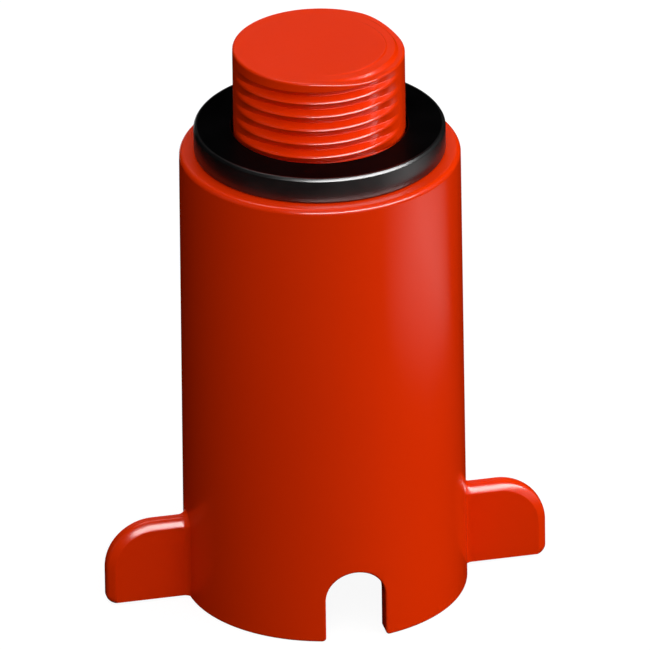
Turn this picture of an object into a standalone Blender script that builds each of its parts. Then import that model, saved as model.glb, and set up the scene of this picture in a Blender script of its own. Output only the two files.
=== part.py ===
"""Long blanking plug for pressure-testing pipework, with a G 1/2 male thread.

Two pieces: the one-piece plastic plug (threaded stud, hollow barrel and two wings) and
the flat rubber ring that seals between the plug's shoulder and the fitting's face.

The plug stands on its open rim at z = 0 with its axis along +Z. The wings lie along X,
and the two driving notches in the rim face -Y and +Y. Everything is in metres.
"""

import math

import bmesh
import bpy

MM = 0.001

# Thread of the stud: G 1/2, 14 turns to the inch, 55 degree Whitworth form, right hand.
THREAD_MAJOR_RADIUS = 20.955 / 2 * MM
THREAD_PITCH = 25.4 / 14 * MM
THREAD_FLANK_ANGLE = math.radians(55 / 2)
THREAD_DEPTH_PER_PITCH = 0.640327
CREST_TRIM = 0.0775 * MM  # moulded crests stand this far inside the nominal size
THREAD_LIFT = 1.17 * MM  # from the shoulder to the middle of the helix's low end
THREAD_END_LAND = 1.0 * MM  # that the helix leaves below the end of the stud
LAND_ANGLES = (math.radians(-16), math.radians(164))  # where the mould parts
LAND_HALF_ANGLE = math.radians(32)  # each side of it the groove is left out
LAND_FADE_ANGLE = math.radians(22)  # over which it then grows to full depth
GROOVE_CLEAR_LIFT = 0.1 * MM  # its open ends rise this far off the crests

# Stud, solid at its end and cored from below.
STUD_LENGTH = 13.7 * MM  # from the shoulder
END_CHAMFER = 0.3 * MM
END_WALL = 3.0 * MM
STUD_WALL = 2.8 * MM  # from the thread's root to the core
CORE_TAPER = 0.15 * MM
CORE_END_FILLET = 1.0 * MM
CORE_MOUTH_FILLET = 1.0 * MM

# Barrel, drafted a little wider towards its open rim.
BARREL_LENGTH = 58.3 * MM
BARREL_TOP_RADIUS = 17.00 * MM
BARREL_RIM_RADIUS = 17.25 * MM
BARREL_WALL = 2.5 * MM
BORE_TAPER = 0.1 * MM
CEILING_WALL = 3.0 * MM
CEILING_FILLET = 1.5 * MM
SHOULDER_FILLET = 0.7 * MM
RIM_FILLET = 0.25 * MM
BORE_RIM_FILLET = 0.25 * MM

# Wings that are gripped or tapped to turn the plug.
WING_LENGTH = 10.15 * MM  # out from the barrel at its rim
WING_HEIGHT = 10.6 * MM
WING_THICKNESS = 2.6 * MM
WING_EDGE_FILLET = 1.0 * MM  # round the tip and the top
WING_FOOT_FILLET = 0.3 * MM  # along the foot
WING_TOP_CORNER = 6.0 * MM
WING_FOOT_CORNER = 1.2 * MM
WING_ROOT_FILLET = 1.0 * MM
WING_ROOT_BURY = 0.15 * MM  # how far the root fillet's end lies inside the barrel

# Notches across the rim for a flat driving bar.
NOTCH_WIDTH = 7.4 * MM
NOTCH_HEIGHT = 9.1 * MM
NOTCH_MOUTH_FILLET = 0.5 * MM

# Sealing ring, a loose fit on the stud.
RING_SHOULDER_SHOWS = 1.8 * MM  # of the shoulder's width, outside the ring
RING_FREE_THICKNESS = 3.3 * MM
RING_BORE_CLEARANCE = 0.3 * MM
RING_SEAT_GAP = 0.3 * MM
RING_EDGE_CHAMFER = 0.2 * MM

# How finely the round surfaces are divided.
AROUND = 60
FILLET_STEPS = 4
SMALL_FILLET_STEPS = 2
NOTCH_ARC_STEPS = 12
CUTTER_OVERRUN = 1.0 * MM

# Heights and radii that follow from the sizes above.
SHOULDER_Z = BARREL_LENGTH
END_Z = SHOULDER_Z + STUD_LENGTH
CREST_RADIUS = THREAD_MAJOR_RADIUS - CREST_TRIM
THREAD_DEPTH = THREAD_DEPTH_PER_PITCH * THREAD_PITCH
ROOT_RADIUS = THREAD_MAJOR_RADIUS - THREAD_DEPTH
SHOULDER_RADIUS = BARREL_TOP_RADIUS - SHOULDER_FILLET
RING_RADIUS = BARREL_TOP_RADIUS - RING_SHOULDER_SHOWS


def clear_scene():
    for old in list(bpy.data.objects):
        bpy.data.objects.remove(old, do_unlink=True)


def plastic(name, colour, roughness):
    """A plain material of one colour."""
    made = bpy.data.materials.new(name)
    made.use_nodes = True
    shader = made.node_tree.nodes["Principled BSDF"]
    shader.inputs["Base Color"].default_value = (*colour, 1.0)
    shader.inputs["Roughness"].default_value = roughness
    shader.inputs["Metallic"].default_value = 0.0
    return made


def add_object(name, points, faces, material=None):
    """A mesh object with its faces pointing outwards and its round sides smooth."""
    mesh = bpy.data.meshes.new(name)
    work = bmesh.new()
    corners = [work.verts.new(p) for p in points]
    for face in faces:
        work.faces.new([corners[i] for i in face])
    bmesh.ops.recalc_face_normals(work, faces=work.faces)
    work.to_mesh(mesh)
    work.free()
    if material:
        mesh.materials.append(material)
    mesh.shade_smooth()
    mesh.set_sharp_from_angle(angle=math.radians(30))
    made = bpy.data.objects.new(name, mesh)
    bpy.context.scene.collection.objects.link(made)
    return made


def hide_tool(tool):
    """Marks an object that only shapes another one."""
    tool.hide_render = True
    tool.display_type = "WIRE"


def boolean(target, tool, operation):
    modifier = target.modifiers.new(tool.name, "BOOLEAN")
    modifier.operation = operation
    modifier.solver = "EXACT"
    modifier.object = tool


def arc(centre, radius, start, end, steps):
    """Points on an arc, its two ends included. Angles are in degrees."""
    points = []
    for step in range(steps + 1):
        angle = math.radians(start + (end - start) * step / steps)
        points.append(
            (centre[0] + radius * math.cos(angle), centre[1] + radius * math.sin(angle))
        )
    return points


def turned(name, outline, material, closed=False):
    """Turns an outline of (radius, height) pairs about the Z axis.

    An open outline starts and ends on the axis; a closed one makes a ring.
    """
    points, rows, faces = [], [], []
    for radius, height in outline:
        first = len(points)
        count = 1 if radius == 0 else AROUND
        for turn in range(count):
            angle = 2 * math.pi * turn / AROUND
            points.append((radius * math.cos(angle), radius * math.sin(angle), height))
        rows.append([first + turn % count for turn in range(AROUND + 1)])
    pairs = list(zip(rows, rows[1:] + rows[:1]))
    for upper, lower in pairs if closed else pairs[:-1]:
        for turn in range(AROUND):
            corners = (upper[turn], lower[turn], lower[turn + 1], upper[turn + 1])
            faces.append(list(dict.fromkeys(corners)))
    return add_object(name, points, faces, material)


def lofted(name, sections, material=None):
    """Joins a row of closed sections of equally many points, and caps both ends."""
    count = len(sections[0])
    points = [point for section in sections for point in section]
    faces = [list(range(count)), list(range(len(points) - count, len(points)))]
    for row in range(len(sections) - 1):
        for i in range(count):
            here, beside = row * count + i, row * count + (i + 1) % count
            faces.append([here, beside, beside + count, here + count])
    return add_object(name, points, faces, material)


def plug_outline():
    """The plug's section: down its outside, round the rim and up inside to the axis."""
    bore_rim = BARREL_RIM_RADIUS - BARREL_WALL
    bore_top = BARREL_TOP_RADIUS - BARREL_WALL - BORE_TAPER
    ceiling = SHOULDER_Z - CEILING_WALL
    core_mouth = ROOT_RADIUS - STUD_WALL
    core_end = core_mouth - CORE_TAPER
    core_end_z = END_Z - END_WALL
    outline = [
        (0, END_Z),
        (CREST_RADIUS - END_CHAMFER, END_Z),
        (CREST_RADIUS, END_Z - END_CHAMFER),
        (CREST_RADIUS, SHOULDER_Z),
    ]
    outline += arc(
        (SHOULDER_RADIUS, SHOULDER_Z - SHOULDER_FILLET),
        SHOULDER_FILLET,
        90,
        0,
        FILLET_STEPS,
    )
    outline += arc(
        (BARREL_RIM_RADIUS - RIM_FILLET, RIM_FILLET),
        RIM_FILLET,
        0,
        -90,
        SMALL_FILLET_STEPS,
    )
    outline += arc(
        (bore_rim + BORE_RIM_FILLET, BORE_RIM_FILLET),
        BORE_RIM_FILLET,
        -90,
        -180,
        SMALL_FILLET_STEPS,
    )
    outline += arc(
        (bore_top - CEILING_FILLET, ceiling - CEILING_FILLET),
        CEILING_FILLET,
        0,
        90,
        FILLET_STEPS,
    )
    outline += arc(
        (core_mouth + CORE_MOUTH_FILLET, ceiling + CORE_MOUTH_FILLET),
        CORE_MOUTH_FILLET,
        -90,
        -180,
        SMALL_FILLET_STEPS,
    )
    outline += arc(
        (core_end - CORE_END_FILLET, core_end_z - CORE_END_FILLET),
        CORE_END_FILLET,
        0,
        90,
        SMALL_FILLET_STEPS,
    )
    outline.append((0, core_end_z))
    return outline


def groove_depth(angle):
    """Share of the groove's full depth at an angle; below zero it clears the stud."""
    away = min(abs((angle - land + math.pi) % (2 * math.pi) - math.pi) for land in LAND_ANGLES)
    clear = -GROOVE_CLEAR_LIFT / (CREST_RADIUS - ROOT_RADIUS)
    return min(1, max(clear, (away - LAND_HALF_ANGLE) / LAND_FADE_ANGLE))


def thread_grooves():
    """The spaces between the thread's ridges, each one stretch of the same helix.

    Plain lands interrupt the thread where the two mould halves part, so that each half
    pulls straight off, and every stretch rises out of the stud at both its ends. The
    helix starts in the first land, and a last stretch without room to end is left out.
    """
    low_z = SHOULDER_Z + THREAD_LIFT
    turns = (END_Z - THREAD_END_LAND - low_z) / THREAD_PITCH
    outer = CREST_RADIUS + THREAD_PITCH / 9
    pitch_radius = THREAD_MAJOR_RADIUS - THREAD_DEPTH / 2
    slope = math.tan(THREAD_FLANK_ANGLE)
    root_half = THREAD_PITCH / 4 - (pitch_radius - ROOT_RADIUS) * slope
    outer_half = THREAD_PITCH / 4 + (outer - pitch_radius) * slope
    stretches, sections = [], []
    for step in range(math.ceil(turns * AROUND) + 1):
        angle = LAND_ANGLES[0] + 2 * math.pi * step / AROUND
        depth = groove_depth(angle)
        lift = (1 - depth) * (CREST_RADIUS - ROOT_RADIUS)
        height = low_z + THREAD_PITCH * step / AROUND
        profile = [
            (ROOT_RADIUS + lift, -root_half),
            (outer + lift, -outer_half),
            (outer + lift, outer_half),
            (ROOT_RADIUS + lift, root_half),
        ]
        section = [
            (radius * math.cos(angle), radius * math.sin(angle), height + rise)
            for radius, rise in profile
        ]
        sections.append(section)
        if depth <= groove_depth(LAND_ANGLES[0]):
            if len(sections) > 2:
                stretches.append(sections)
            sections = [section]
    return [lofted(f"thread_groove_{i}", rows) for i, rows in enumerate(stretches, 1)]


def wing_outline(inset):
    """One wing's edge in (x, z), moved inwards by inset, with its root in the barrel.

    The foot moves in less, because its edges are rounded less.
    """
    buried_x = BARREL_RIM_RADIUS - BARREL_WALL / 2
    tip_x = BARREL_RIM_RADIUS + WING_LENGTH
    barrel_x = BARREL_RIM_RADIUS + (BARREL_TOP_RADIUS - BARREL_RIM_RADIUS) * (
        WING_HEIGHT / BARREL_LENGTH
    )
    fillet_x = barrel_x - WING_ROOT_BURY + WING_ROOT_FILLET
    foot = inset * WING_FOOT_FILLET / WING_EDGE_FILLET
    outline = [(buried_x, foot)]
    for across, down in arc((0, 0), 1, -90, 0, SMALL_FILLET_STEPS + 1):
        x = tip_x - WING_FOOT_CORNER + (WING_FOOT_CORNER - inset) * across
        outline.append((x, WING_FOOT_CORNER + (WING_FOOT_CORNER - foot) * down))
    outline += arc(
        (tip_x - WING_TOP_CORNER, WING_HEIGHT - WING_TOP_CORNER),
        WING_TOP_CORNER - inset,
        0,
        90,
        2 * FILLET_STEPS,
    )
    outline += arc(
        (fillet_x, WING_HEIGHT + WING_ROOT_FILLET),
        WING_ROOT_FILLET + inset,
        -90,
        -180,
        FILLET_STEPS,
    )
    outline.append((buried_x, WING_HEIGHT + WING_ROOT_FILLET))
    return outline


def wing(name, side):
    """A rounded plate in the XZ plane, on the +X side (1) or the -X side (-1)."""
    half = WING_THICKNESS / 2
    edge = [
        (WING_EDGE_FILLET - across, half - WING_EDGE_FILLET + out)
        for out, across in arc((0, 0), WING_EDGE_FILLET, 0, 90, SMALL_FILLET_STEPS)
    ]
    rows = [(inset, y) for inset, y in edge] + [(inset, -y) for inset, y in edge[::-1]]
    sections = [
        [(side * x, y, z) for x, z in wing_outline(inset)] for inset, y in rows
    ]
    return lofted(name, sections)


def rim_notches():
    """An arched bar across the rim that cuts the notch on each side of the barrel."""
    half = NOTCH_WIDTH / 2
    reach = BARREL_RIM_RADIUS + CUTTER_OVERRUN
    side = arc(
        (half + NOTCH_MOUTH_FILLET, NOTCH_MOUTH_FILLET),
        NOTCH_MOUTH_FILLET,
        -90,
        -180,
        SMALL_FILLET_STEPS,
    )
    side.insert(0, (side[0][0], -CUTTER_OVERRUN))
    arch = arc((0, NOTCH_HEIGHT - half), half, 0, 180, NOTCH_ARC_STEPS)
    outline = side + arch + [(-x, z) for x, z in side[::-1]]
    return lofted(
        "rim_notches", [[(x, y, z) for x, z in outline] for y in (-reach, reach)]
    )


def plug_body():
    red = plastic("plug_red", (0.67, 0.024, 0.002), 0.35)
    body = turned("plug_body", plug_outline(), red)
    for tool, operation in (
        *((groove, "DIFFERENCE") for groove in thread_grooves()),
        (wing("wing_right", 1), "UNION"),
        (wing("wing_left", -1), "UNION"),
        (rim_notches(), "DIFFERENCE"),
    ):
        hide_tool(tool)
        boolean(body, tool, operation)
    return body


def sealing_ring():
    """The flat ring. Its origin is on the axis, at its underside."""
    black = plastic("ring_black", (0.012, 0.012, 0.013), 0.45)
    bore = CREST_RADIUS + RING_BORE_CLEARANCE
    top = RING_FREE_THICKNESS - RING_SEAT_GAP
    chamfer = RING_EDGE_CHAMFER
    outline = [
        (bore + chamfer, top),
        (RING_RADIUS - chamfer, top),
        (RING_RADIUS, top - chamfer),
        (RING_RADIUS, chamfer),
        (RING_RADIUS - chamfer, 0),
        (bore + chamfer, 0),
        (bore, chamfer),
        (bore, top - chamfer),
    ]
    ring = turned("sealing_ring", outline, black, closed=True)
    ring.location.z = SHOULDER_Z + RING_SEAT_GAP
    return ring


clear_scene()
plug_body()
sealing_ring()
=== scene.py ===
import math

import bmesh
import bpy
from mathutils import Matrix, Vector


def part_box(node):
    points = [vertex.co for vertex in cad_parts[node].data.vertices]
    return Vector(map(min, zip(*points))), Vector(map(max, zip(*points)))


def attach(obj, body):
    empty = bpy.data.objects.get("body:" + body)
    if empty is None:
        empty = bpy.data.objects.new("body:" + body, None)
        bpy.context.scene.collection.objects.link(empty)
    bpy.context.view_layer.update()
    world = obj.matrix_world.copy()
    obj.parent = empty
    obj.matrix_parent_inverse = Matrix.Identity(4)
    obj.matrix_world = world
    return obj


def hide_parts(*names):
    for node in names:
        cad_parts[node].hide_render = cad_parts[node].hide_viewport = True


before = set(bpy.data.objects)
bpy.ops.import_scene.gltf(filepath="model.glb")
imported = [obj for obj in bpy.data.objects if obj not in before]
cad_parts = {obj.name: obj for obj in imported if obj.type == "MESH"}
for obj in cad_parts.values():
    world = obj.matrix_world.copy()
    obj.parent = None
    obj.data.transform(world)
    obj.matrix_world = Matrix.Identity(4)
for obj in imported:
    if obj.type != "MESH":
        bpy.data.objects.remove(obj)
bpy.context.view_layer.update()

# The plug: a threaded stud, a long hollow barrel, two thumb wings at its foot and two notches
# for a driving bar in its rim. It is one injection moulding in glossy red polypropylene, and
# a faint parting line runs down each side.

MM = 0.001
TURN = 2 * math.pi
AROUND = 216  # columns of the turned meshes

plug_low, plug_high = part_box("plug_body")
ring_low, ring_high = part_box("sealing_ring")

STUD_END = plug_high.z
THREAD_PITCH = 25.4 / 14 * MM
THREAD_DEPTH = 0.640327 * THREAD_PITCH
CREST_RADIUS = 10.40 * MM
ROOT_RADIUS = 20.955 / 2 * MM - THREAD_DEPTH
CREST_BEVEL_RISE = 0.26 * MM
CREST_BEVEL_SLOPE = math.tan(math.radians(32))
UPPER_FLANK_SLOPE = math.tan(math.radians(68))
LOWER_FLANK_SLOPE = math.tan(math.radians(43.5))  # drafted much more than the upper one
THREAD_ROUNDING = 0.06 * MM
ROOT_ROUNDING = 0.02 * MM
ROW_OFFSETS = (-0.075 * MM, -0.035 * MM, -0.01 * MM, 0.01 * MM, 0.035 * MM, 0.075 * MM)
THREAD_FOOT_RISE = 0.4 * MM  # from the shoulder to the plain foot under the thread
GROOVE_LOW = 59.47 * MM  # the middle of the helix's low end
GROOVE_TURNS = 6.0
LAND_ANGLES = (math.radians(-16), math.radians(164))  # middles of the two plain lands
LAND_HALF_ANGLE = math.radians(15)
LAND_FADE_ANGLE = math.radians(47)  # over which the grooves then grow to full depth
END_ROUNDING = 0.3 * MM
END_FACE_ROWS = (3.5 * MM, 6.5 * MM, 7.8 * MM)
# Each low step in the end face has an inner radius, a width and a depth.
END_STEPS = ((8.07 * MM, 0.2 * MM, 0.15 * MM), (9.15 * MM, 0.5 * MM, 0.5 * MM))
END_STEP_SLICES = 12
END_STEP_START = math.radians(253)
END_STEP_GROWTH = math.radians(45)
END_STEP_FADE = math.radians(40)
END_STEP_SWEEP = math.radians(155)

BARREL_LENGTH = 58.3 * MM
BARREL_TOP_RADIUS = 17.00 * MM
RIM_RADIUS = 17.25 * MM
BARREL_WALL = 2.5 * MM
BARREL_ROW_HEIGHT = 4.5 * MM
SHOULDER_FILLET = 0.7 * MM
SHOULDER_ROW_INSETS = (4 * MM, 2 * MM, 0.4 * MM)
RIM_FILLET = 0.25 * MM
BORE_RIM_FILLET = 0.25 * MM
BORE_TAPER = 0.1 * MM
CEILING_WALL = 3.0 * MM
CEILING_FILLET = 1.5 * MM
STUD_WALL = 2.8 * MM
CORE_TAPER = 0.15 * MM
CORE_FILLET = 1.0 * MM
END_WALL = 3.0 * MM
PARTING_RIDGE = 0.02 * MM

WING_TIP = plug_high.x
WING_HEIGHT = 10.6 * MM
WING_HALF = 1.3 * MM
WING_EDGE_BENDS = ((0.75 * MM, 37), (4.6 * MM, 27), (0.3 * MM, 0))  # radius, slant reached
WING_FOOT_SHARE = 0.3  # of the edge's height, on the foot
WING_TOP_CORNER = 6.0 * MM
WING_FOOT_CORNER = 1.2 * MM
WING_ROOT_FILLET = 1.0 * MM
WING_ROOT_BURY = 0.08 * MM
WING_ROOT_ANGLES = (0, 12, 24, 36, 48, 60, 70, 78)

NOTCH_HALF = 3.7 * MM
NOTCH_HEIGHT = 9.1 * MM
NOTCH_MOUTH_FILLET = 0.5 * MM
NOTCH_EDGE_FILLET = 0.25 * MM
NOTCH_EDGE_ANGLES = (0, 20, 40, 60, 75)
NOTCH_OVERRUN = 1.0 * MM
WELD_DISTANCE = 0.001 * MM
SHARP_ANGLE = math.radians(35)


def arc(centre, radius, start, end, steps):
    """Points on an arc, its two ends included. Angles are in degrees."""
    points = []
    for step in range(steps + 1):
        angle = math.radians(start + (end - start) * step / steps)
        points.append((centre[0] + radius * math.cos(angle), centre[1] + radius * math.sin(angle)))
    return points


def ease(share):
    """A share from 0 to 1 with a smooth start and end."""
    share = min(1.0, max(0.0, share))
    return share * share * (3 - 2 * share)


def barrel_radius(z):
    """The barrel's outside, drafted a little wider towards its open rim."""
    return RIM_RADIUS + (BARREL_TOP_RADIUS - RIM_RADIUS) * z / BARREL_LENGTH


BEVEL_FOOT = CREST_RADIUS - CREST_BEVEL_RISE * CREST_BEVEL_SLOPE
ROOT_START = CREST_BEVEL_RISE + (BEVEL_FOOT - ROOT_RADIUS) / UPPER_FLANK_SLOPE
ROOT_END = THREAD_PITCH - (CREST_RADIUS - ROOT_RADIUS) / LOWER_FLANK_SLOPE
ROOT_MIDDLE = (ROOT_START + ROOT_END) / 2


def ridge_radius(rise):
    """The thread's radius at a height above a ridge's crest, with softly rounded corners.

    Above its crest a ridge has a narrow bevel and then the upper flank; below it lies the
    lower flank. The root is where both flanks fall under the root's radius.
    """

    def lower_of(one, other, rounding):
        return (one + other - math.hypot(one - other, rounding)) / 2

    bevel = CREST_RADIUS - CREST_BEVEL_SLOPE * rise
    upper = BEVEL_FOOT - UPPER_FLANK_SLOPE * (rise - CREST_BEVEL_RISE)
    lower = CREST_RADIUS + LOWER_FLANK_SLOPE * rise
    ridge = lower_of(lower_of(bevel, upper, THREAD_ROUNDING), lower, THREAD_ROUNDING)
    return -lower_of(-ridge, -ROOT_RADIUS, ROOT_ROUNDING)


def stud_radius(angle, z):
    """The threaded stud's outside. The groove fades away on the lands and at its ends."""
    climb = (z - GROOVE_LOW) / THREAD_PITCH
    turn = (angle - LAND_ANGLES[0]) / TURN % 1
    turn += round(climb - turn)
    rise = ROOT_MIDDLE + (climb - turn) * THREAD_PITCH
    if rise > ROOT_MIDDLE:
        rise -= THREAD_PITCH
    off_land = min(abs((angle - land + math.pi) % TURN - math.pi) for land in LAND_ANGLES)
    share = ease((off_land - LAND_HALF_ANGLE) / LAND_FADE_ANGLE)
    if turn < 0 or turn > GROOVE_TURNS:
        share = 0
    return CREST_RADIUS - (CREST_RADIUS - ridge_radius(rise)) * share


def end_drop(angle):
    """Share of the end's low steps at an angle: they run round the front and one side."""
    swept = (angle - END_STEP_START) % TURN
    return ease(swept / END_STEP_GROWTH) * ease((END_STEP_SWEEP - swept) / END_STEP_FADE)


def groove_rows():
    """Heights of one turn's rows above the groove's middle, closest at the corners."""
    corners = (0, CREST_BEVEL_RISE, ROOT_START, ROOT_END)
    rows = {corner + offset for corner in corners for offset in ROW_OFFSETS}
    for low, high, count in (
        (0, CREST_BEVEL_RISE, 2),
        (CREST_BEVEL_RISE, ROOT_START, 4),
        (ROOT_END, THREAD_PITCH, 6),
    ):
        rows |= {low + (high - low) * step / count for step in range(1, count)}
    return sorted((row - ROOT_MIDDLE) % THREAD_PITCH for row in rows)


def plug_shell():
    """The whole turned skin: end face, threaded stud, shoulder, barrel, bore and core."""
    skin = bmesh.new()

    def row(outline_point, ridge=0.0):
        radius, z = outline_point
        made = []
        for column in range(AROUND):
            angle = TURN * column / AROUND
            out = radius[column] if isinstance(radius, list) else radius
            height = z[column] if isinstance(z, list) else z
            if column % (AROUND // 2) == 0:
                out += ridge
            made.append(skin.verts.new((out * math.cos(angle), out * math.sin(angle), height)))
        return made

    def band(upper, lower):
        for column in range(AROUND):
            beside = (column + 1) % AROUND
            skin.faces.new((upper[column], lower[column], lower[beside], upper[beside]))

    def lid(centre_z, around):
        centre = skin.verts.new((0, 0, centre_z))
        for column in range(AROUND):
            skin.faces.new((centre, around[column], around[(column + 1) % AROUND]))

    # The threaded part follows the helix, so each row stays on one place of the profile.
    angles = [TURN * column / AROUND for column in range(AROUND)]
    drops = [end_drop(angle) for angle in angles]
    end_depth = sum(depth for _, _, depth in END_STEPS)
    tops = [STUD_END - END_ROUNDING - end_depth * drop for drop in drops]
    thread_foot = BARREL_LENGTH + THREAD_FOOT_RISE
    top_radii = [stud_radius(angle, z) for angle, z in zip(angles, tops)]
    top = row((top_radii, tops))
    foot = row(([stud_radius(angle, thread_foot) for angle in angles], thread_foot))
    rows = groove_rows()
    start = GROOVE_LOW - THREAD_PITCH * LAND_ANGLES[0] / TURN - THREAD_PITCH
    turns = math.ceil((STUD_END - start) / THREAD_PITCH) + 1
    heights = [start + THREAD_PITCH * turn + rise for turn in range(-1, turns) for rise in rows]
    snap = 0.015 * MM
    columns = []
    for column, angle in enumerate(angles):
        climb = THREAD_PITCH * column / AROUND
        made = []
        for height in heights:
            z = height + climb
            if z < thread_foot + snap:
                made.append(foot[column])
            elif z > tops[column] - snap:
                made.append(top[column])
            else:
                radius = stud_radius(angle, z)
                made.append(
                    skin.verts.new((radius * math.cos(angle), radius * math.sin(angle), z))
                )
        columns.append(made)
    for column in range(AROUND):
        here = columns[column]
        beside = columns[(column + 1) % AROUND]
        if column == AROUND - 1:
            beside = beside[len(rows) :] + [top[0]] * len(rows)
        for level in range(len(heights) - 1):
            corners = (here[level + 1], here[level], beside[level], beside[level + 1])
            corners = list(dict.fromkeys(corners))
            if len(corners) > 2:
                skin.faces.new(corners)

    # The end face, from the thread's top up over its rounded edge to the middle.
    above = top
    for drawn_in, rise in arc((0, 0), END_ROUNDING, 0, 90, 8)[1:]:
        inset = END_ROUNDING - drawn_in
        here = row(([radius - inset for radius in top_radii], [z + rise for z in tops]))
        band(here, above)
        above = here
    face = [(radius, 0.0) for radius in END_FACE_ROWS]
    for radius, width, depth in END_STEPS:
        level = face[-1][1]
        for step in range(END_STEP_SLICES + 1):
            share = step / END_STEP_SLICES
            face.append((radius + width * share, level + depth * ease(share)))
    for radius, depth in reversed(face):
        here = row((radius, [STUD_END - depth * drop for drop in drops]))
        band(here, above)
        above = here
    lid(STUD_END, above)

    # Everything below the thread: shoulder, barrel, rim, bore, ceiling and core.
    shoulder_radius = BARREL_TOP_RADIUS - SHOULDER_FILLET
    bore_rim = RIM_RADIUS - BARREL_WALL
    bore_top = BARREL_TOP_RADIUS - BARREL_WALL - BORE_TAPER
    ceiling = BARREL_LENGTH - CEILING_WALL
    core_mouth = ROOT_RADIUS - STUD_WALL
    core_end = core_mouth - CORE_TAPER
    core_end_z = STUD_END - END_WALL
    side_top = BARREL_LENGTH - SHOULDER_FILLET
    side_rows = round(side_top / BARREL_ROW_HEIGHT)
    half_foot = BARREL_LENGTH + THREAD_FOOT_RISE / 2
    outside = [(CREST_RADIUS, half_foot), (CREST_RADIUS, BARREL_LENGTH)]
    outside += [(shoulder_radius - inset, BARREL_LENGTH) for inset in SHOULDER_ROW_INSETS]
    outside += arc((shoulder_radius, side_top), SHOULDER_FILLET, 90, 0, 20)
    side = []
    for step in range(1, side_rows + 1):
        z = side_top + (RIM_FILLET - side_top) * step / side_rows
        side.append((barrel_radius(z), z))
    rim = arc((RIM_RADIUS - RIM_FILLET, RIM_FILLET), RIM_FILLET, 0, -90, 8)[1:]
    inside = arc((bore_rim + BORE_RIM_FILLET, BORE_RIM_FILLET), BORE_RIM_FILLET, -90, -180, 6)
    for step in range(1, side_rows):
        share = step / side_rows
        z = BORE_RIM_FILLET + (ceiling - CEILING_FILLET - BORE_RIM_FILLET) * share
        inside.append((bore_rim + (bore_top - bore_rim) * share, z))
    inside += arc((bore_top - CEILING_FILLET, ceiling - CEILING_FILLET), CEILING_FILLET, 0, 90, 12)
    inside += arc((core_mouth + CORE_FILLET, ceiling + CORE_FILLET), CORE_FILLET, -90, -180, 10)
    inside += arc((core_end - CORE_FILLET, core_end_z - CORE_FILLET), CORE_FILLET, 0, 90, 10)
    above = foot
    for points, ridge in ((outside, 0.0), (side, PARTING_RIDGE), (rim + inside, 0.0)):
        for point in points:
            here = row(point, ridge)
            band(above, here)
            above = here
    lid(core_end_z, above)
    return solid("plug_body_skin", skin)


def solid(name, work):
    """Turns a closed bmesh into an object with its faces pointing outwards."""
    bmesh.ops.recalc_face_normals(work, faces=work.faces)
    mesh = bpy.data.meshes.new(name)
    work.to_mesh(mesh)
    work.free()
    made = bpy.data.objects.new(name, mesh)
    bpy.context.scene.collection.objects.link(made)
    return made


def lofted(sections):
    """A closed bmesh through a row of sections with equally many points."""
    work = bmesh.new()
    rows = [[work.verts.new(point) for point in section] for section in sections]
    for here, beyond in zip(rows, rows[1:]):
        for i in range(len(here)):
            j = (i + 1) % len(here)
            work.faces.new((here[i], here[j], beyond[j], beyond[i]))
    work.faces.new(rows[0])
    work.faces.new(rows[-1])
    return work


def rolled_edge(bends):
    """Points (out, down) from a flat top to an upright side, over one arc after another.

    A bend is its radius and the slant in degrees that it ends at: 90 lies flat, 0 stands.
    """
    points, slant = [(0.0, 0.0)], 90
    for radius, reached in bends:
        out, down = points[-1]
        for step in range(1, 9):
            now = math.radians(slant + (reached - slant) * step / 8)
            across = math.cos(now) - math.cos(math.radians(slant))
            fallen = math.sin(math.radians(slant)) - math.sin(now)
            points.append((out + radius * across, down + radius * fallen))
        slant = reached
    return points


def wing_outline(inset):
    """One wing's edge in (x, z), moved inwards by inset, with its root in the barrel.

    The foot moves in less, because its edges are rounded less.
    """
    buried_x = RIM_RADIUS - BARREL_WALL / 2
    fillet_x = barrel_radius(WING_HEIGHT) - WING_ROOT_BURY + WING_ROOT_FILLET
    foot = inset * WING_FOOT_SHARE
    outline = [(buried_x, foot)]
    for across, down in arc((0, 0), 1, -90, 0, 10):
        x = WING_TIP - WING_FOOT_CORNER + (WING_FOOT_CORNER - inset) * across
        outline.append((x, WING_FOOT_CORNER + (WING_FOOT_CORNER - foot) * down))
    outline += arc(
        (WING_TIP - WING_TOP_CORNER, WING_HEIGHT - WING_TOP_CORNER),
        WING_TOP_CORNER - inset,
        0,
        90,
        28,
    )
    outline += arc(
        (fillet_x, WING_HEIGHT + WING_ROOT_FILLET), WING_ROOT_FILLET + inset, -90, -180, 12
    )
    outline.append((buried_x, WING_HEIGHT + WING_ROOT_FILLET))
    return outline


def wing(name, side):
    """A rounded plate in the XZ plane that flares out where it joins the barrel."""
    rolled = rolled_edge(WING_EDGE_BENDS)
    edge = [(down, WING_HALF - rolled[-1][0] + out) for out, down in reversed(rolled)]
    rows = edge + [(inset, -y) for inset, y in edge[::-1]]
    work = lofted([[(x, y, z) for x, z in wing_outline(inset)] for inset, y in rows])
    reach = RIM_RADIUS - WING_ROOT_BURY + WING_ROOT_FILLET
    flare_x = math.sqrt(reach**2 - (WING_HALF + WING_ROOT_FILLET) ** 2)
    for angle in WING_ROOT_ANGLES:
        plane_x = flare_x - WING_ROOT_FILLET * math.sin(math.radians(angle))
        everything = work.verts[:] + work.edges[:] + work.faces[:]
        bmesh.ops.bisect_plane(work, geom=everything, plane_co=(plane_x, 0, 0), plane_no=(1, 0, 0))
    steepest = math.sin(math.radians(WING_ROOT_ANGLES[-1]))
    for vertex in work.verts:
        drawn_in = (flare_x - vertex.co.x) / WING_ROOT_FILLET
        if drawn_in > 0:
            drawn_in = min(drawn_in, steepest)
            widened = WING_ROOT_FILLET * (1 - math.sqrt(1 - drawn_in**2))
            vertex.co.y *= (WING_HALF + widened) / WING_HALF
        vertex.co.x *= side
    return solid(name, work)


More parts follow.
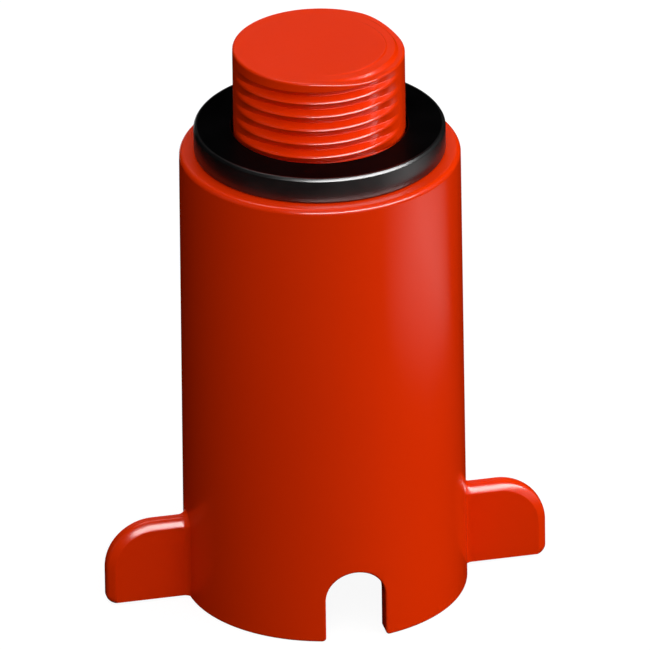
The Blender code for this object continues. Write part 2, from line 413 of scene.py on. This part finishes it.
def notch_cutter(name, side):
    """An arched block through the wall whose ends flare, so that the notch's edges are round."""
    flare = [
        (NOTCH_EDGE_FILLET * (1 - math.sin(angle)), NOTCH_EDGE_FILLET * (1 - math.cos(angle)))
        for angle in map(math.radians, NOTCH_EDGE_ANGLES)
    ]
    proud = 0.03 * MM
    last = flare[-1]
    tail = last[1] + (last[0] + proud) * math.tan(math.radians(NOTCH_EDGE_ANGLES[-1]))
    flare += [(-proud, tail), (-NOTCH_OVERRUN, tail)]
    depths = flare[::-1] + [(BARREL_WALL - depth, widened) for depth, widened in flare]
    sections = []
    for depth, widened in depths:
        half = NOTCH_HALF + widened
        mouth = NOTCH_MOUTH_FILLET - widened
        corner = (NOTCH_HALF + NOTCH_MOUTH_FILLET, NOTCH_MOUTH_FILLET)
        flank = [(corner[0], -NOTCH_OVERRUN)] + arc(corner, mouth, -90, -180, 8)
        crown = arc((0, NOTCH_HEIGHT - NOTCH_HALF), half, 0, 180, 40)
        outline = flank + crown + [(-x, z) for x, z in flank[::-1]]
        section = []
        for x, z in outline:
            radius = barrel_radius(max(z, 0)) - depth
            section.append((x, side * math.sqrt(radius**2 - x**2), z))
        sections.append(section)
    return solid(name, lofted(sections))


def node(tree, kind, **settings):
    """Adds a shader node. A setting that names an input fills that input."""
    made = tree.nodes.new(kind)
    for key, value in settings.items():
        if hasattr(made, key):
            setattr(made, key, value)
        else:
            made.inputs[key.replace("_", " ")].default_value = value
    return made


def moulded_red():
    """Glossy red plastic with faint mottling, flow marks and a light orange peel."""
    material = bpy.data.materials.new("moulded_red")
    material.use_nodes = True
    tree = material.node_tree
    shader = tree.nodes["Principled BSDF"]
    link = tree.links.new
    place = node(tree, "ShaderNodeTexCoord").outputs["Object"]

    clouds = node(tree, "ShaderNodeTexNoise", Scale=45.0, Detail=3.0, Roughness=0.5)
    link(place, clouds.inputs["Vector"])
    reds = node(tree, "ShaderNodeValToRGB")
    reds.color_ramp.elements[0].position = 0.25
    reds.color_ramp.elements[0].color = (0.785, 0.0298, 0.0, 1)
    reds.color_ramp.elements[1].position = 0.75
    reds.color_ramp.elements[1].color = (0.815, 0.0325, 0.0, 1)
    link(clouds.outputs["Fac"], reds.inputs["Fac"])
    link(reds.outputs["Color"], shader.inputs["Base Color"])

    stretched = node(tree, "ShaderNodeMapping")
    stretched.inputs["Scale"].default_value = (1.0, 1.0, 0.12)
    link(place, stretched.inputs["Vector"])
    flow = node(tree, "ShaderNodeTexNoise", Scale=300.0, Detail=2.0, Distortion=0.4)
    link(stretched.outputs["Vector"], flow.inputs["Vector"])
    gloss = node(tree, "ShaderNodeMapRange", From_Min=0.3, From_Max=0.7, To_Min=0.19, To_Max=0.23)
    link(flow.outputs["Fac"], gloss.inputs["Value"])
    link(gloss.outputs["Result"], shader.inputs["Roughness"])

    peel = node(tree, "ShaderNodeTexNoise", Scale=500.0, Detail=1.0, Roughness=0.4)
    link(place, peel.inputs["Vector"])
    peel_bump = node(tree, "ShaderNodeBump", Strength=0.02, Distance=0.00002)
    link(peel.outputs["Fac"], peel_bump.inputs["Height"])
    link(peel_bump.outputs["Normal"], shader.inputs["Normal"])
    shader.inputs["IOR"].default_value = 1.49
    return material


def finished(name, skin, material, tools=()):
    """Cuts and joins the tools, then welds the mesh and shades it with crisp flats."""
    for tool, operation in tools:
        modifier = skin.modifiers.new(tool.name, "BOOLEAN")
        modifier.operation = operation
        modifier.solver = "EXACT"
        modifier.object = tool
    shaped = bpy.data.meshes.new_from_object(
        skin.evaluated_get(bpy.context.evaluated_depsgraph_get())
    )
    for used in [skin] + [tool for tool, _ in tools]:
        bpy.data.objects.remove(used, do_unlink=True)
    work = bmesh.new()
    work.from_mesh(shaped)
    bmesh.ops.remove_doubles(work, verts=work.verts, dist=WELD_DISTANCE)
    bmesh.ops.dissolve_degenerate(work, edges=work.edges, dist=WELD_DISTANCE / 2)
    work.to_mesh(shaped)
    work.free()
    shaped.name = name
    shaped.materials.clear()
    shaped.materials.append(material)
    shaped.shade_smooth()
    shaped.set_sharp_from_angle(angle=SHARP_ANGLE)
    made = bpy.data.objects.new(name, shaped)
    bpy.context.scene.collection.objects.link(made)
    crisp = made.modifiers.new("crisp_flats", "WEIGHTED_NORMAL")
    crisp.keep_sharp = True
    crisp.weight = 80
    return made


plug = finished(
    "plug_moulding",
    plug_shell(),
    moulded_red(),
    [
        (wing("wing_right", 1), "UNION"),
        (wing("wing_left", -1), "UNION"),
        (notch_cutter("notch_front", -1), "DIFFERENCE"),
        (notch_cutter("notch_back", 1), "DIFFERENCE"),
    ],
)
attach(plug, "plug")
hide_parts("plug_body")

# The seal: a flat ring of black rubber, moulded with softly rounded edges and rubbed shiny
# round its outside. It is pushed down over the stud onto the plug's shoulder, where the
# fitting's face squeezes it when the plug is screwed home.

RING_OUTER = ring_high.y
RING_BORE = 10.70 * MM
RING_TOP = ring_high.z
RING_UNDERSIDE = BARREL_LENGTH + 0.05 * MM
RING_EDGE_BENDS = ((0.12 * MM, 38), (1.8 * MM, 28), (0.12 * MM, 0))  # radius, slant reached
RING_OUTER_ROUNDING = 0.28 * MM
RING_BORE_ROUNDING = 0.18 * MM
RUBBED_FROM = 14.7 * MM  # distances from the axis where handling has shined the rubber
RUBBED_FULLY = 14.9 * MM
MATT_SPECULAR = 0.02
RUBBED_SPECULAR = 1.0


def ring_mesh():
    """The ring's section turned about the axis."""
    outer, bore = RING_OUTER_ROUNDING, RING_BORE_ROUNDING
    rolled = rolled_edge(RING_EDGE_BENDS)
    outline = [(RING_OUTER - rolled[-1][0] + out, RING_TOP - down) for out, down in rolled]
    outline += arc((RING_OUTER - outer, RING_UNDERSIDE + outer), outer, 0, -90, 8)
    outline += arc((RING_BORE + bore, RING_UNDERSIDE + bore), bore, -90, -180, 6)
    outline += arc((RING_BORE + bore, RING_TOP - bore), bore, 180, 90, 6)
    work = bmesh.new()
    rows = []
    for radius, z in outline:
        row = []
        for column in range(AROUND):
            angle = TURN * column / AROUND
            row.append(work.verts.new((radius * math.cos(angle), radius * math.sin(angle), z)))
        rows.append(row)
    for here, beyond in zip(rows, rows[1:] + rows[:1]):
        for column in range(AROUND):
            beside = (column + 1) % AROUND
            work.faces.new((here[column], beyond[column], beyond[beside], here[beside]))
    return solid("seal_skin", work)


def black_rubber():
    """Matt black rubber with fine grain and a faint bloom, rubbed shiny round its edge."""
    material = bpy.data.materials.new("black_rubber")
    material.use_nodes = True
    tree = material.node_tree
    shader = tree.nodes["Principled BSDF"]
    link = tree.links.new
    place = node(tree, "ShaderNodeTexCoord").outputs["Object"]

    bloom = node(tree, "ShaderNodeTexNoise", Scale=160.0, Detail=5.0, Roughness=0.65)
    link(place, bloom.inputs["Vector"])
    blacks = node(tree, "ShaderNodeValToRGB")
    blacks.color_ramp.elements[0].position = 0.35
    blacks.color_ramp.elements[0].color = (0.0006, 0.0006, 0.0007, 1)
    blacks.color_ramp.elements[1].position = 0.8
    blacks.color_ramp.elements[1].color = (0.0018, 0.0018, 0.0020, 1)
    link(bloom.outputs["Fac"], blacks.inputs["Fac"])
    link(blacks.outputs["Color"], shader.inputs["Base Color"])
    gloss = node(tree, "ShaderNodeMapRange", From_Min=0.3, From_Max=0.7, To_Min=0.3, To_Max=0.4)
    link(bloom.outputs["Fac"], gloss.inputs["Value"])
    link(gloss.outputs["Result"], shader.inputs["Roughness"])

    grain = node(tree, "ShaderNodeTexNoise", Scale=5200.0, Detail=3.0)
    link(place, grain.inputs["Vector"])
    grain_bump = node(tree, "ShaderNodeBump", Strength=0.12, Distance=0.00002)
    link(grain.outputs["Fac"], grain_bump.inputs["Height"])
    link(grain_bump.outputs["Normal"], shader.inputs["Normal"])
    shader.inputs["IOR"].default_value = 1.62

    flat = node(tree, "ShaderNodeMapping")
    flat.inputs["Scale"].default_value = (1.0, 1.0, 0.0)
    link(place, flat.inputs["Vector"])
    from_axis = node(tree, "ShaderNodeVectorMath", operation="LENGTH")
    link(flat.outputs["Vector"], from_axis.inputs[0])
    rubbed = node(
        tree,
        "ShaderNodeMapRange",
        From_Min=RUBBED_FROM,
        From_Max=RUBBED_FULLY,
        To_Min=MATT_SPECULAR,
        To_Max=RUBBED_SPECULAR,
    )
    link(from_axis.outputs["Value"], rubbed.inputs["Value"])
    link(rubbed.outputs["Result"], shader.inputs["Specular IOR Level"])
    return material


seal = finished("rubber_seal", ring_mesh(), black_rubber())
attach(seal, "ring")
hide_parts("sealing_ring")

# The floor: a pale matt board that the plug stands on, seen from above only, and a white
# surround behind it. Neither shows in the plug's gloss.

FLOOR_HALF = 4.0
FLOOR_DROP = 0.05 * MM  # below the rim, so that the two don't coincide
FLOOR_GREY = 0.12
FLOOR_GLOW = 0.93


def pale_board():
    """A near-white matt surface, lit evenly, that is clear from below."""
    material = bpy.data.materials.new("pale_board")
    material.use_nodes = True
    tree = material.node_tree
    link = tree.links.new
    tree.nodes.remove(tree.nodes["Principled BSDF"])
    matt = node(tree, "ShaderNodeBsdfDiffuse", Color=(FLOOR_GREY, FLOOR_GREY, FLOOR_GREY, 1))
    glow = node(tree, "ShaderNodeEmission", Color=(1, 1, 1, 1), Strength=FLOOR_GLOW)
    clear = node(tree, "ShaderNodeBsdfTransparent")
    lit = node(tree, "ShaderNodeAddShader")
    link(matt.outputs["BSDF"], lit.inputs[0])
    link(glow.outputs["Emission"], lit.inputs[1])
    side = node(tree, "ShaderNodeMixShader")
    link(node(tree, "ShaderNodeNewGeometry").outputs["Backfacing"], side.inputs["Fac"])
    link(lit.outputs["Shader"], side.inputs[1])
    link(clear.outputs["BSDF"], side.inputs[2])
    link(side.outputs["Shader"], tree.nodes["Material Output"].inputs["Surface"])
    return material


board = bmesh.new()
board.faces.new(
    [
        board.verts.new((x * FLOOR_HALF, y * FLOOR_HALF, -FLOOR_DROP))
        for x, y in ((-1, -1), (1, -1), (1, 1), (-1, 1))
    ]
)
floor = solid("floor", board)
floor.data.materials.append(pale_board())
floor.visible_glossy = False
floor.visible_diffuse = False

world = bpy.data.worlds.new("surround")
world.use_nodes = True
bpy.context.scene.world = world
surround = world.node_tree.nodes["Background"]
surround.inputs["Color"].default_value = (1, 1, 1, 1)
world.node_tree.links.new(
    node(world.node_tree, "ShaderNodeLightPath").outputs["Is Camera Ray"],
    surround.inputs["Strength"],
)
bpy.context.scene.view_settings.view_transform = "Standard"

# The camera looks down at the plug from in front and a little to the left, through a very
# long lens, so the barrel's sides stay almost parallel.

CAMERA_AZIMUTH = -12.5
CAMERA_ELEVATION = 27.05
CAMERA_ROLL = 0.78
CAMERA_DISTANCE = 2.8
CAMERA_LENS = 1282.0
AIM = Vector((0, 0, 36.2 * MM))
AIM_RIGHT = 0.36 * MM
AIM_DOWN = 1.70 * MM


def towards(azimuth, elevation):
    """Unit vector away from the plug. Azimuth 0 is -Y and 90 is +X, in degrees."""
    a, e = math.radians(azimuth), math.radians(elevation)
    return Vector((math.sin(a) * math.cos(e), -math.cos(a) * math.cos(e), math.sin(e)))


back = towards(CAMERA_AZIMUTH, CAMERA_ELEVATION)
level_right = towards(CAMERA_AZIMUTH + 90, 0)
level_up = back.cross(level_right)
roll = math.radians(CAMERA_ROLL)
right = level_right * math.cos(roll) - level_up * math.sin(roll)
up = level_up * math.cos(roll) + level_right * math.sin(roll)
camera_data = bpy.data.cameras.new("camera")
camera_data.lens = CAMERA_LENS
camera_data.sensor_width = 36.0
camera = bpy.data.objects.new("camera", camera_data)
bpy.context.scene.collection.objects.link(camera)
axes = Matrix((right, up, back)).transposed()
place = AIM + right * AIM_RIGHT - up * AIM_DOWN + back * CAMERA_DISTANCE
camera.matrix_world = Matrix.Translation(place) @ axes.to_4x4()
bpy.context.scene.camera = camera

# The studio lights: wide lamps light the matt shading only, and softboxes show in the gloss
# only. The front softbox gives the highlights on the shoulder, the wings, the ridges and the
# ring's edge.

MIDDLE = Vector((0, 0, 36 * MM))


def lamp(name, azimuth, elevation, distance, width, height, watts, gloss, aim=MIDDLE):
    """A rectangular lamp facing its aim. It lights either the matt shading or the gloss."""
    light = bpy.data.lights.new(name, "AREA")
    light.shape = "RECTANGLE"
    light.size = width
    light.size_y = height
    light.energy = watts
    made = bpy.data.objects.new(name, light)
    bpy.context.scene.collection.objects.link(made)
    direction = towards(azimuth, elevation)
    made.location = aim + direction * distance
    made.rotation_mode = "QUATERNION"
    made.rotation_quaternion = direction.to_track_quat("Z", "Y")
    made.visible_camera = False
    made.visible_diffuse = not gloss
    made.visible_glossy = gloss


lamp("key", 45, 45, 0.6, 0.35, 0.35, 1.35, False)
lamp("front_left_fill", -15, 45, 0.7, 0.4, 0.4, 1.95, False)
lamp("left_fill", -85, 25, 0.7, 0.5, 0.5, 0.65, False)
lamp("right_fill", 80, 20, 0.7, 0.5, 0.5, 2.35, False)
lamp("low_front_fill", 20, 12, 0.7, 0.4, 0.4, 0.95, False)
lamp("overhead", 0, 80, 0.7, 0.4, 0.4, 0.5, False)
lamp("back_fill", 175, 22, 0.7, 0.6, 0.6, 3.6, False)
lamp("front_softbox", 22, 34, 0.5, 0.9, 0.12, 6.8, True)
lamp("back_softbox", 178, -12, 0.45, 0.22, 0.12, 0.13, True)
lamp("back_top_softbox", 200, 70, 0.6, 0.4, 0.12, 0.5, True)

# Softboxes one inside another make the upright highlight on the barrel's right, which is
# brightest in its middle and fades out downwards. Their top edges lie at one height.

SIDE_COUNT = 6
SIDE_AZIMUTH = 77
SIDE_ELEVATION = -27
SIDE_DISTANCE = 0.07
SIDE_GLOW = 0.7  # watts for each square metre of softbox
SIDE_HALF_ANGLE = 4  # of the narrowest one, in degrees
SIDE_WIDENING = 6
SIDE_TOP = 61.5 * MM
SIDE_REACH_DOWN = 7.5 * MM  # of the shortest one, on the barrel
SIDE_LENGTHENING = 4 * MM
SIDE_AIM_X = 9.2 * MM
SIDE_AIM_Y = -14.3 * MM

for step in range(SIDE_COUNT):
    half_angle = math.radians(SIDE_HALF_ANGLE + SIDE_WIDENING * step)
    reach_down = SIDE_REACH_DOWN + SIDE_LENGTHENING * step
    width = 2 * SIDE_DISTANCE * math.tan(half_angle)
    height = reach_down * math.cos(math.radians(SIDE_ELEVATION))
    watts = SIDE_GLOW * width * height
    aim = Vector((SIDE_AIM_X, SIDE_AIM_Y, SIDE_TOP - reach_down / 2))
    name = f"side_softbox_{step + 1}"
    lamp(name, SIDE_AZIMUTH, SIDE_ELEVATION, SIDE_DISTANCE, width, height, watts, True, aim)
